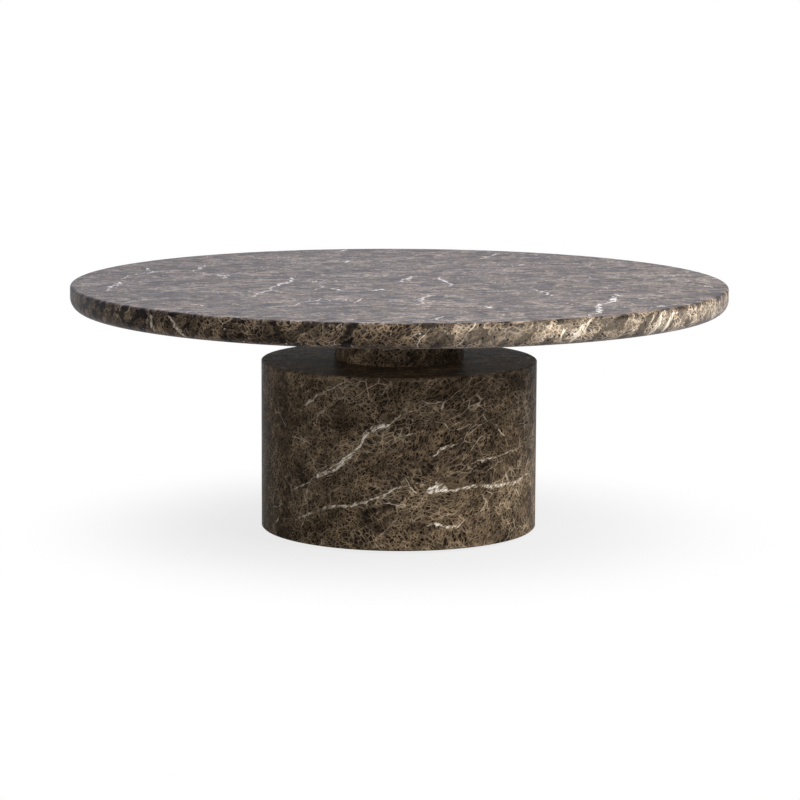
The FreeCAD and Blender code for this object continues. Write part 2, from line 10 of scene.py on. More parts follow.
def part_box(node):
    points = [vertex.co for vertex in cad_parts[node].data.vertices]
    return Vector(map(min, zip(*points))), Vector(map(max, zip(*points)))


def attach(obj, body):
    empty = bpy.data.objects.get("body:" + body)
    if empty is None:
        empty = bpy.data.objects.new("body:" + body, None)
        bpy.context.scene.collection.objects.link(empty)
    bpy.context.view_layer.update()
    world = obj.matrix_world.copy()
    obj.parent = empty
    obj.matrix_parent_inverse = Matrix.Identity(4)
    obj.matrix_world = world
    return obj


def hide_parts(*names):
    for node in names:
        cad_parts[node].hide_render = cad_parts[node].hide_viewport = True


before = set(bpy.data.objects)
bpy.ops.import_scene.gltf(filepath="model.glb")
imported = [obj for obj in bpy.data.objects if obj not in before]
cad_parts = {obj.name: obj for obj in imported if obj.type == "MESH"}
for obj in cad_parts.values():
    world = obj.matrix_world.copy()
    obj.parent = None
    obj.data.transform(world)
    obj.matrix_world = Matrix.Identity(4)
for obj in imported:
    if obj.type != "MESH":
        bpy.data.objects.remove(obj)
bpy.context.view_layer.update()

MM = 0.001

# Sizes of the stone that the frame's boxes don't give, in metres
TOP_UPPER_ROUND = 5 * MM
TOP_LOWER_ROUND = 20 * MM
ARRIS = 1.5 * MM
DRUM_WALL = 20 * MM
FIT_GAP = 0.3 * MM
FLAT_GUARD = 1 * MM
MERGE_REACH = 0.01 * MM

TURN_STEPS = 360
ROUND_STEPS = 10
SHARP_ANGLE = math.radians(35)

# The camera, matched to the photograph
CAMERA_PLACE = Vector((0.0, -4.8556, 0.9580))
CAMERA_PITCH = math.radians(8.74)
CAMERA_YAW = math.radians(0.020)
CAMERA_ROLL = math.radians(0.245)
CAMERA_LENS = 134.96

# Sockets of a Mix node, which shares its socket names between kinds of value: the two colours, the
# mixed colour, and the two plain numbers
MIX_A = 6
MIX_B = 7
MIX_COLOUR = 2
MIX_NUMBER_A = 2
MIX_NUMBER_B = 3


def linear(code):
    """Turn an sRGB hex colour into the linear colour that sockets take."""
    values = [int(code[place:place + 2], 16) / 255 for place in (1, 3, 5)]
    return tuple(
        value / 12.92 if value <= 0.04045 else ((value + 0.055) / 1.055) ** 2.4
        for value in values
    ) + (1.0,)


def add_node(tree, kind, inputs=None, stops=None, points=None, **settings):
    """Add one node with its settings; inputs are values, or sockets to link from."""
    node = tree.nodes.new(kind)
    for name, value in settings.items():
        setattr(node, name, value)
    for key, value in (inputs or {}).items():
        if isinstance(value, bpy.types.NodeSocket):
            tree.links.new(value, node.inputs[key])
        else:
            node.inputs[key].default_value = value
    if stops:
        ramp = node.color_ramp.elements
        while len(ramp) < len(stops):
            ramp.new(1.0)
        for element, (place, code) in zip(ramp, stops):
            element.position = place
            element.color = linear(code)
    if points:
        curve = node.mapping.curves[0]
        while len(curve.points) < len(points):
            curve.points.new(1.0, 1.0)
        for point, place in zip(curve.points, points):
            point.location = place
            point.handle_type = "AUTO_CLAMPED"
        node.mapping.extend = "HORIZONTAL"
        node.mapping.update()
    return node


def turned_tree():
    """Build the tree that turns a half profile about the upright axis, with rounded corners."""
    tree = bpy.data.node_groups.new("Turned stone", "GeometryNodeTree")
    for name, kind in (
        ("Profile", "NodeSocketGeometry"),
        ("Turn steps", "NodeSocketInt"),
        ("Round steps", "NodeSocketInt"),
        ("Sharp angle", "NodeSocketFloat"),
        ("Stone", "NodeSocketMaterial"),
    ):
        tree.interface.new_socket(name, in_out="INPUT", socket_type=kind)
    tree.interface.new_socket("Turned", in_out="OUTPUT", socket_type="NodeSocketGeometry")
    given = add_node(tree, "NodeGroupInput").outputs

    line = add_node(tree, "GeometryNodeMeshToCurve", {"Mesh": given["Profile"]})
    rounding = add_node(
        tree, "GeometryNodeInputNamedAttribute", {"Name": "rounding"}, data_type="FLOAT"
    )
    rounded = add_node(
        tree, "GeometryNodeFilletCurve",
        {
            "Curve": line.outputs["Curve"],
            "Count": given["Round steps"],
            "Radius": rounding.outputs["Attribute"],
        },
        mode="POLY",
    ).outputs["Curve"]

    # One row of vertices for each step of the turn, one column for each point of the profile
    count = add_node(
        tree, "GeometryNodeAttributeDomainSize", {"Geometry": rounded}, component="CURVE"
    ).outputs["Point Count"]
    rows = add_node(
        tree, "FunctionNodeIntegerMath", {0: given["Turn steps"], 1: 1}, operation="ADD"
    )
    sheet = add_node(
        tree, "GeometryNodeMeshGrid", {"Vertices X": rows.outputs[0], "Vertices Y": count}
    )
    index = add_node(tree, "GeometryNodeInputIndex").outputs["Index"]
    column = add_node(tree, "FunctionNodeIntegerMath", {0: index, 1: count}, operation="MODULO")
    row = add_node(tree, "FunctionNodeIntegerMath", {0: index, 1: count}, operation="DIVIDE_FLOOR")
    place = add_node(tree, "GeometryNodeInputPosition")
    on_profile = add_node(
        tree, "GeometryNodeSampleIndex",
        {"Geometry": rounded, "Value": place.outputs[0], "Index": column.outputs[0]},
        data_type="FLOAT_VECTOR", domain="POINT",
    )
    share = add_node(
        tree, "ShaderNodeMath", {0: row.outputs[0], 1: given["Turn steps"]}, operation="DIVIDE"
    )
    angle = add_node(
        tree, "ShaderNodeMath", {0: share.outputs[0], 1: math.tau}, operation="MULTIPLY"
    )
    turned = add_node(
        tree, "ShaderNodeVectorRotate",
        {"Vector": on_profile.outputs["Value"], "Angle": angle.outputs[0]},
        rotation_type="Z_AXIS",
    )
    placed = add_node(
        tree, "GeometryNodeSetPosition",
        {"Geometry": sheet.outputs["Mesh"], "Position": turned.outputs["Vector"]},
    )
    closed = add_node(
        tree, "GeometryNodeMergeByDistance",
        {"Geometry": placed.outputs["Geometry"], "Distance": MERGE_REACH},
    )

    # Faces shade smoothly over the rounds and break at the crisp corners
    bend = add_node(tree, "GeometryNodeInputMeshEdgeAngle")
    crisp = add_node(
        tree, "ShaderNodeMath",
        {0: bend.outputs["Unsigned Angle"], 1: given["Sharp angle"]},
        operation="GREATER_THAN",
    )
    smooth = add_node(
        tree, "GeometryNodeSetShadeSmooth",
        {"Geometry": closed.outputs["Geometry"], "Shade Smooth": True}, domain="FACE",
    )
    edged = add_node(
        tree, "GeometryNodeSetShadeSmooth",
        {
            "Geometry": smooth.outputs["Geometry"],
            "Selection": crisp.outputs[0],
            "Shade Smooth": False,
        },
        domain="EDGE",
    )
    whole = add_node(
        tree, "GeometryNodeRealizeInstances", {"Geometry": edged.outputs["Geometry"]}
    )
    finished = add_node(
        tree, "GeometryNodeSetMaterial",
        {"Geometry": whole.outputs["Geometry"], "Material": given["Stone"]},
    )
    add_node(tree, "NodeGroupOutput", {"Turned": finished.outputs["Geometry"]})
    return tree


def on_flat(corner, neighbour):
    """Give a point on the flat from a rounded corner to its neighbour, just past the round."""
    place, rounding = Vector(corner[:2]), corner[2]
    towards = (Vector(neighbour[:2]) - place).normalized()
    return (*(place + towards * (rounding + FLAT_GUARD)), 0.0)


def guarded(profile):
    """Add a point on the flat at each side of a rounded corner, so that flats shade flat."""
    points = []
    for index, corner in enumerate(profile):
        if not corner[2]:
            points.append(corner)
            continue
        before, after = profile[index - 1], profile[index + 1]
        points += [on_flat(corner, before), corner, on_flat(corner, after)]
    return points


def plain_mesh(piece):
    """Swap the result of a piece's modifiers in as an ordinary mesh, faces outward."""
    graph = bpy.context.evaluated_depsgraph_get()
    mesh = bpy.data.meshes.new_from_object(piece.evaluated_get(graph))
    piece.modifiers.clear()
    piece.data = mesh
    mesh.name = piece.name
    shape = bmesh.new()
    shape.from_mesh(mesh)
    bmesh.ops.recalc_face_normals(shape, faces=shape.faces)
    shape.to_mesh(mesh)
    shape.free()


def turn_stone(name, tree, profile, stone, node):
    """Turn a stone piece from its half profile, and put it in the place of its CAD node."""
    points = guarded(profile)
    mesh = bpy.data.meshes.new(name)
    runs = [(place, place + 1) for place in range(len(points) - 1)]
    mesh.from_pydata([(radius, 0.0, height) for radius, height, _ in points], runs, [])
    rounding = mesh.attributes.new("rounding", "FLOAT", "POINT")
    rounding.data.foreach_set("value", [value for _, _, value in points])
    piece = bpy.data.objects.new(name, mesh)
    bpy.context.scene.collection.objects.link(piece)
    modifier = piece.modifiers.new("Turned stone", "NODES")
    modifier.node_group = tree
    settings = {
        "Turn steps": TURN_STEPS,
        "Round steps": ROUND_STEPS,
        "Sharp angle": SHARP_ANGLE,
        "Stone": stone,
    }
    for item in tree.interface.items_tree:
        if item.name in settings:
            modifier[item.identifier] = settings[item.name]
    plain_mesh(piece)
    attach(piece, "table")
    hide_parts(node)


def round_box(node):
    """Give a round node's radius, its lowest height and its highest height."""
    low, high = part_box(node)
    return max(high.x, high.y, -low.x, -low.y), low.z, high.z


# Veins that the photograph shows, as (points, breadth, strength), with places in millimetres.
# On the drum's wall: (across to the right as seen from the front, up from the floor).
WALL_VEINS = (
    (((-172, 84), (-155, 97), (-136, 113)), 5, 0.75),
    (((-138, 111), (-115, 126), (-102, 133), (-83, 148), (-72, 160), (-61, 176), (-50, 191),
      (-39, 198), (-17, 205)), 15, 1.2),
    (((-60, 180), (-49, 193), (-34, 200), (-14, 206)), 15, 1.2),
    (((-140, 120), (-118, 134), (-100, 146), (-86, 160)), 3, 0.6),
    (((-17, 205), (3, 219), (27, 227)), 4, 0.7),
    (((-9, 200), (7, 192), (30, 195), (46, 200)), 4, 0.7),
    (((-172, 38), (-145, 51), (-123, 65), (-102, 71), (-78, 76), (-53, 83), (-39, 90),
      (-17, 97), (1, 106), (23, 109)), 8, 0.85),
    (((40, 97), (50, 101), (62, 105), (80, 103)), 24, 1.5),
    (((60, 104), (92, 103), (113, 103), (140, 100), (163, 99), (185, 99), (202, 102), (215, 105)),
     9, 0.9),
    (((-163, 209), (-149, 229), (-129, 244), (-108, 257), (-93, 268), (-80, 276)), 6, 0.9),
    (((52, 158), (66, 165), (92, 175)), 7, 0.9),
    (((112, 143), (133, 144), (159, 147), (184, 150), (203, 151)), 4, 0.75),
    (((-198, 26), (-194, 33), (-191, 40)), 6, 0.9),
    (((43, 47), (67, 44), (89, 41), (100, 46), (107, 57)), 8, 0.9),
)
# On the sides and back of the drum, which the photograph doesn't show, measured along the wall
REAR_WALL_VEINS = (
    (((330, 60), (380, 92), (430, 150), (470, 168), (520, 215)), 10, 1.0),
    (((395, 100), (440, 110), (500, 104), (560, 118)), 5, 0.7),
    (((560, 250), (600, 203), (640, 184), (690, 122)), 7, 0.9),
    (((-690, 78), (-620, 108), (-560, 161), (-500, 176)), 10, 1.0),
    (((-480, 242), (-430, 203), (-380, 190), (-330, 148)), 6, 0.8),
    (((-560, 60), (-500, 72), (-450, 64), (-390, 92)), 6, 0.8),
)
# On the top's face: (back from the middle of the table, across to the right).
FACE_VEINS = (
    (((-145, -469), (11, -451)), 7, 1.2),
    (((85, -443), (131, -419), (207, -440)), 9, 1.2),
    (((32, -283), (105, -305)), 7, 1.2),
    (((-229, -230), (-121, -212), (-22, -186), (95, -172)), 8, 1.1),
    (((-117, -91), (-90, -109)), 14, 1.2),
    (((-115, -44), (-101, -29)), 16, 1.3),
    (((-311, 27), (-166, 51)), 7, 1.3),
    (((-69, 88), (74, 65)), 9, 1.1),
    (((359, 141), (462, 170)), 8, 1.1),
    (((-186, 236), (-92, 212)), 7, 1.2),
    (((-440, 284), (-413, 289), (-300, 313), (-142, 350)), 10, 1.2),
    (((-343, -188), (-304, -153), (-217, -116)), 6, 1.0),
    (((25, -459), (85, -443), (122, -425)), 6, 1.0),
    (((143, -341), (250, -331)), 6, 1.0),
    (((-327, -302), (-312, -315)), 9, 1.3),
    (((-297, -422), (-268, -410)), 9, 1.1),
    (((-138, -145), (-49, -123)), 6, 0.9),
    (((-4, -141), (20, -125)), 9, 1.3),
    (((450, -117), (520, -101)), 8, 1.2),
    (((293, -98), (334, -76)), 9, 1.2),
    (((-288, -68), (-215, -54)), 6, 0.9),
    (((-4, 1), (43, 14), (97, 27)), 8, 1.0),
    (((89, 447), (120, 465)), 9, 1.3),
    (((-67, 504), (-25, 488)), 9, 1.1),
    (((-229, 374), (-202, 391)), 9, 1.3),
    (((-328, 383), (-298, 396)), 9, 1.3),
    (((-347, 139), (-325, 129)), 9, 1.3),
    (((-485, 45), (-447, 70)), 9, 1.3),
    (((242, 192), (281, 221)), 9, 1.2),
)
# On the rim of the top: (up from the floor, round from the middle of the front).
RIM_VEINS = (
    (((362, 258), (371, 268), (392, 287), (408, 304)), 14, 2.2),
    (((372, -408), (400, -417)), 12, 1.4),
    (((366, -340), (376, -350), (406, -380)), 12, 1.4),
    (((390, 227), (404, 230)), 8, 1.2),
    (((364, 420), (380, 436), (404, 453)), 18, 2.0),
    (((370, 459), (402, 479)), 14, 1.8),
    (((368, 700), (385, 715), (402, 738)), 10, 1.1),
    (((370, 930), (400, 905)), 8, 1.0),
    (((368, 1100), (386, 1120), (403, 1128)), 11, 1.2),
    (((368, 1500), (403, 1530)), 8, 1.1),
    (((370, -760), (404, -790)), 9, 1.1),
    (((370, -1180), (402, -1150)), 11, 1.2),
    (((370, -1500), (402, -1540)), 8, 1.0),
)

# How far the strands of a vein lean from the way it is laid out, in degrees, their size in
# millimetres, and the noise levels between which a strand shows, with its least share
STRAND_LEANS = {"wall": 35, "face": 5, "rim": 25}
STRAND_LENGTH = 22
STRAND_BREADTH = 2.2
STRAND_LEVELS = (0.40, 0.54)
LEAST_STRAND = 0.2
# Flecks that a vein breaks up into: size, noise levels, least share
FLECK_SIZE = 6
FLECK_LEVELS = (0.36, 0.54)
LEAST_FLECK = 0.25
# Colours of a vein from its thin edge to its thick middle
VEIN_COLOURS = {
    "wall": ((0.0, "#a08c72"), (0.5, "#c6b9a5"), (0.9, "#e4dbcd")),
    "face": ((0.0, "#a8957a"), (0.4, "#d8c8b0"), (0.8, "#f4e9d6")),
    "rim": ((0.0, "#a08c72"), (0.5, "#c0b29c"), (0.9, "#d8cdbc")),
}
# How veins waver, as (length, amount); more on the face, which is seen at a low angle
VEIN_BENDS = ((30, 14), (9, 7), (3, 3))
FACE_VEIN_BENDS = ((60, 36), (22, 20), (9, 12))
# Breadth of a vein along its length, as shares of both, the share of its half breadth that is
# solid, and the half breadth left at its ends
VEIN_TAPER = ((0, 0), (0.15, 0.7), (0.5, 1), (0.85, 0.6), (1, 0))
VEIN_SOLID = 0.3
VEIN_TIP = 0.01


def vein_mask(tree, along, across, path, breadth):
    """Trace one vein through the points of path, at most breadth wide and thinning to its ends."""
    start, end = path[0][0], path[-1][0]
    low = min(point[1] for point in path)
    span = max(point[1] for point in path) - low
    share = add_node(
        tree, "ShaderNodeMapRange", {"Value": along, "From Min": start, "From Max": end},
        clamp=False,
    )
    line = add_node(
        tree, "ShaderNodeFloatCurve", {"Value": share.outputs[0]},
        points=[((a - start) / (end - start), (b - low) / span) for a, b in path],
    )
    middle = add_node(
        tree, "ShaderNodeMath", {0: line.outputs[0], 1: span, 2: low}, operation="MULTIPLY_ADD"
    )
    width = add_node(
        tree, "ShaderNodeFloatCurve", {"Value": share.outputs[0]}, points=VEIN_TAPER
    )
    half = add_node(
        tree, "ShaderNodeMath", {0: width.outputs[0], 1: breadth / 2, 2: VEIN_TIP},
        operation="MULTIPLY_ADD",
    )
    offset = add_node(
        tree, "ShaderNodeMath", {0: across, 1: middle.outputs[0]}, operation="SUBTRACT"
    )
    distance = add_node(tree, "ShaderNodeMath", {0: offset.outputs[0]}, operation="ABSOLUTE")
    ratio = add_node(
        tree, "ShaderNodeMath", {0: distance.outputs[0], 1: half.outputs[0]}, operation="DIVIDE"
    )
    mask = add_node(
        tree, "ShaderNodeMapRange",
        {"Value": ratio.outputs[0], "From Min": VEIN_SOLID, "From Max": 1.0,
         "To Min": 1.0, "To Max": 0.0},
        interpolation_type="SMOOTHSTEP",
    )
    return mask.outputs[0]


def all_veins(tree, along, across, veins):
    """Join the masks of a table of veins into one."""
    whole = None
    for path, breadth, strength in veins:
        mask = vein_mask(tree, along, across, path, breadth)
        scaled = add_node(tree, "ShaderNodeMath", {0: mask, 1: strength}, operation="MULTIPLY")
        if whole is not None:
            scaled = add_node(
                tree, "ShaderNodeMath", {0: scaled.outputs[0], 1: whole}, operation="MAXIMUM"
            )
        whole = scaled.outputs[0]
    return whole


def bend_space(tree, point, bends):
    """Push points about by noises, given as (length, amount), so that no line runs straight."""
    bent = point
    for length, amount in bends:
        swirl = add_node(
            tree, "ShaderNodeTexNoise", {"Vector": point, "Scale": 1 / length, "Detail": 1}
        )
        centred = add_node(
            tree, "ShaderNodeVectorMath",
            {0: swirl.outputs["Color"], 1: (0.5, 0.5, 0.5)}, operation="SUBTRACT",
        )
        bent = add_node(
            tree, "ShaderNodeVectorMath",
            {0: centred.outputs[0], 1: (amount, amount, amount), 2: bent}, operation="MULTIPLY_ADD",
        ).outputs[0]
    return bent


# Networks of pale threads, where cracks have healed: wavy or straight, size of the cells, breadth,
# stretch along the grain, lean of the grain in degrees, size of the patches that show them, the
# noise levels between which a patch fades in, colour, strength. Lengths are in millimetres. Real
# threads are finer than a pixel of the main view, so they are drawn broad enough to show there.
THREADS = (
    ("straight", 4.5, 0.5, 2.4, -42, 50, (0.34, 0.54), "#77644d", 0.90),
    ("straight", 6, 0.55, 2.6, 30, 40, (0.43, 0.57), "#8b7860", 0.90),
    ("straight", 9, 0.55, 2.6, -12, 50, (0.49, 0.59), "#a08e76", 0.80),
    ("straight", 18, 0.5, 3.4, -28, 70, (0.53, 0.60), "#b3a18a", 0.75),
    ("wavy", 60, 0.6, 3.2, -33, 50, (0.58, 0.62), "#c9bba6", 0.70),
)
# A coarser net on the face of the top, and the heights between which it fades in over its edge
FACE_NET = (19, 1.6, 1.8, 15, 60, (0.46, 0.60), "#b09f88", 0.6)
FACE_EDGE = (402, 405.5)
# Heights between which the veins of the rim fade in, over the round under the top
RIM_EDGE = (366.5, 370)
# Share of the clasts' contrast that is left on the sawn underside of the top
SAWN_MOTTLE = 0.3
# Shift of a net, in cells, and its turn about the upright in degrees, so that no two nets line up,
# and the share of a thread's breadth that is solid
NET_SHIFT = (7, 3, 5)
NET_TURN = 20
THREAD_SOLID = 0.2
# How the nets and the clasts are bent, as (length, amount)
WAVY_BENDS = ((70, 30), (18, 6), (5, 1.5))
STRAIGHT_BENDS = ((80, 28), (24, 5), (8, 2))
CLAST_BENDS = ((40, 24), (12, 8), (4, 2))
# Brown grain, down to a millimetre: its size, and its colours by noise level
GRAIN_SIZE = 8
GRAIN_COLOURS = ((0.33, "#0f0b09"), (0.45, "#2b231d"), (0.54, "#4c4034"), (0.67, "#746451"))
# Broad drifts of lighter and darker stone: size, noise levels, shades
DRIFT_SIZE = 110
DRIFT_LEVELS = (0.35, 0.65)
DRIFT_SHADES = (0.72, 1.28)
# Dark clasts: size, noise levels of an edge, size of their swarms, least share outside a swarm;
# then the noise levels of a swarm, and the colour and strength of a clast
CLASTS = (
    (4, (0.55, 0.60), 45, 0.35),
    (10, (0.60, 0.64), 60, 0.10),
)
SWARM_LEVELS = (0.42, 0.59)
CLAST_COLOUR = "#0d0a08"
CLAST_STRENGTH = 0.95
# Black specks: distance apart, greatest radius, share of them that shows, the power that spreads
# their sizes, breadth of an edge, colour and strength
SPECK_SPACING = 7
SPECK_RADIUS = 2.5
SPECK_SHARE = 0.75
SPECK_SPREAD = 0.4
SPECK_EDGE = 0.8
SPECK_COLOUR = "#080606"
SPECK_STRENGTH = 0.9
# Clasts of broken stone in each piece: breadth, stretch, lean in degrees, softness of the edges,
# and the random values between which their shades spread
BROKEN_SIZE = 12
BROKEN_STRETCH = 2.5
BROKEN_LEAN = -35
BROKEN_SOFTNESS = 0.1
BROKEN_RANGE = (0.1, 0.9)
# Chips of calcite: size, noise levels, colour
CHIP_SIZE = 9
CHIP_LEVELS = (0.65, 0.72)
CHIP_COLOUR = "#d9d0c4"
# Honed surface: size and depth of its unevenness, refraction, and spread and colour of the bloom
HONING_SIZE = 5
HONING_DEPTH = 0.01
STONE_IOR = 1.5
BLOOM_SPREAD = 0.5
BLOOM_COLOUR = "#c8c4ff"


def thread_net(tree, colour, space, net, share=None):
    """Draw threads over a colour, along the walls of stretched cells, where patches show them."""
    size, breadth, stretch, lean, patch, fade, code, strength = net
    grain = add_node(
        tree, "ShaderNodeMapping",
        {
            "Vector": space,
            "Location": [cells * size for cells in NET_SHIFT],
            "Rotation": (0.0, math.radians(lean), math.radians(NET_TURN)),
            "Scale": (stretch, 1.0, 1.0),
        },
        vector_type="TEXTURE",
    ).outputs[0]
    cells = add_node(
        tree, "ShaderNodeTexVoronoi", {"Vector": grain, "Scale": 1 / size},
        feature="DISTANCE_TO_EDGE",
    )
    thin = add_node(
        tree, "ShaderNodeMapRange",
        {"Value": cells.outputs["Distance"], "From Min": THREAD_SOLID * breadth / size,
         "From Max": breadth / size, "To Min": strength, "To Max": 0.0},
    )
    patches = add_node(
        tree, "ShaderNodeTexNoise", {"Vector": grain, "Scale": 1 / patch, "Detail": 2}
    )
    shown = add_node(
        tree, "ShaderNodeMapRange",
        {"Value": patches.outputs["Fac"], "From Min": fade[0], "From Max": fade[1]},
    )
    mask = add_node(
        tree, "ShaderNodeMath", {0: thin.outputs[0], 1: shown.outputs[0]}, operation="MULTIPLY"
    )
    if share is not None:
        mask = add_node(
            tree, "ShaderNodeMath", {0: mask.outputs[0], 1: share}, operation="MULTIPLY"
        )
    return add_node(
        tree, "ShaderNodeMix", {0: mask.outputs[0], MIX_A: colour, MIX_B: linear(code)},
        data_type="RGBA",
    ).outputs[MIX_COLOUR]


def emperador_ground():
    """Build the body of the stone: brown grain, dark clasts, and a net of pale healed cracks."""
    tree = bpy.data.node_groups.new("Emperador ground", "ShaderNodeTree")
    tree.interface.new_socket("Point", in_out="INPUT", socket_type="NodeSocketVector")
    tree.interface.new_socket("Colour", in_out="OUTPUT", socket_type="NodeSocketColor")
    point = add_node(tree, "NodeGroupInput").outputs["Point"]
    spaces = {
        "wavy": bend_space(tree, point, WAVY_BENDS),
        "straight": bend_space(tree, point, STRAIGHT_BENDS),
    }

    grain = add_node(
        tree, "ShaderNodeTexNoise",
        {"Vector": spaces["straight"], "Scale": 1 / GRAIN_SIZE, "Detail": 4, "Roughness": 0.72},
    )
    colour = add_node(
        tree, "ShaderNodeValToRGB", {"Fac": grain.outputs["Fac"]}, stops=GRAIN_COLOURS
    ).outputs["Color"]
    drift = add_node(
        tree, "ShaderNodeTexNoise", {"Vector": point, "Scale": 1 / DRIFT_SIZE, "Detail": 2}
    )
    shade = add_node(
        tree, "ShaderNodeMapRange",
        {"Value": drift.outputs["Fac"], "From Min": DRIFT_LEVELS[0], "From Max": DRIFT_LEVELS[1],
         "To Min": DRIFT_SHADES[0], "To Max": DRIFT_SHADES[1]},
    )
    colour = add_node(
        tree, "ShaderNodeVectorMath", {0: colour, "Scale": shade.outputs[0]}, operation="SCALE"
    ).outputs[0]

    for size, edge, swarm_size, least in CLASTS:
        lumps = add_node(
            tree, "ShaderNodeTexNoise",
            {"Vector": spaces["straight"], "Scale": 1 / size, "Detail": 2},
        )
        lump = add_node(
            tree, "ShaderNodeMapRange",
            {"Value": lumps.outputs["Fac"], "From Min": edge[0], "From Max": edge[1],
             "To Max": CLAST_STRENGTH},
        )
        swarms = add_node(
            tree, "ShaderNodeTexNoise", {"Vector": point, "Scale": 1 / swarm_size, "Detail": 2}
        )
        swarm = add_node(
            tree, "ShaderNodeMapRange",
            {"Value": swarms.outputs["Fac"], "From Min": SWARM_LEVELS[0],
             "From Max": SWARM_LEVELS[1], "To Min": least},
        )
        clast = add_node(
            tree, "ShaderNodeMath", {0: lump.outputs[0], 1: swarm.outputs[0]},
            operation="MULTIPLY",
        )
        colour = add_node(
            tree, "ShaderNodeMix",
            {0: clast.outputs[0], MIX_A: colour, MIX_B: linear(CLAST_COLOUR)}, data_type="RGBA",
        ).outputs[MIX_COLOUR]

    for kind, *net in THREADS:
        colour = thread_net(tree, colour, spaces[kind], net)

    add_node(tree, "NodeGroupOutput", {"Colour": colour})
    return tree


def new_finish(name):
    """Start a material; return it with its tree, its shader and the place on it in millimetres."""
    material = bpy.data.materials.new(name)
    material.use_nodes = True
    tree = material.node_tree
    place = add_node(tree, "ShaderNodeTexCoord").outputs["Object"]
    point = add_node(
        tree, "ShaderNodeVectorMath", {0: place, "Scale": 1 / MM}, operation="SCALE"
    ).outputs[0]
    return material, tree, tree.nodes["Principled BSDF"], point


def work_surface(tree, shader, height, roughness, depth):
    """Spread the roughness and raise a bump, depth millimetres deep, by one height from 0 to 1."""
    spread = add_node(
        tree, "ShaderNodeMapRange",
        {"Value": height, "To Min": roughness[0], "To Max": roughness[1]},
    )
    tree.links.new(spread.outputs[0], shader.inputs["Roughness"])
    bump = add_node(
        tree, "ShaderNodeBump", {"Height": height, "Strength": 1.0, "Distance": depth * MM}
    )
    tree.links.new(bump.outputs["Normal"], shader.inputs["Normal"])


def black_specks(tree, point, colour):
    """Scatter black specks of many sizes over the stone."""
    bent = bend_space(tree, point, STRAIGHT_BENDS)
    specks = add_node(
        tree, "ShaderNodeTexVoronoi", {"Vector": bent, "Scale": 1 / SPECK_SPACING}
    )
    chance = add_node(tree, "ShaderNodeSeparateColor", {"Color": specks.outputs["Color"]}).outputs
    rank = add_node(
        tree, "ShaderNodeMapRange",
        {"Value": chance["Red"], "From Min": 1 - SPECK_SHARE, "From Max": 1.0},
    )
    spread = add_node(
        tree, "ShaderNodeMath", {0: rank.outputs[0], 1: SPECK_SPREAD}, operation="POWER"
    )
    reach = add_node(
        tree, "ShaderNodeMath", {0: spread.outputs[0], 1: SPECK_RADIUS / SPECK_SPACING},
        operation="MULTIPLY",
    )
    depth = add_node(
        tree, "ShaderNodeMath", {0: reach.outputs[0], 1: specks.outputs["Distance"]},
        operation="SUBTRACT",
    )
    speck = add_node(
        tree, "ShaderNodeMapRange",
        {"Value": depth.outputs[0], "From Min": 0.0, "From Max": SPECK_EDGE / SPECK_SPACING,
         "To Max": SPECK_STRENGTH},
    )
    return add_node(
        tree, "ShaderNodeMix", {0: speck.outputs[0], MIX_A: colour, MIX_B: linear(SPECK_COLOUR)},
        data_type="RGBA",
    ).outputs[MIX_COLOUR]


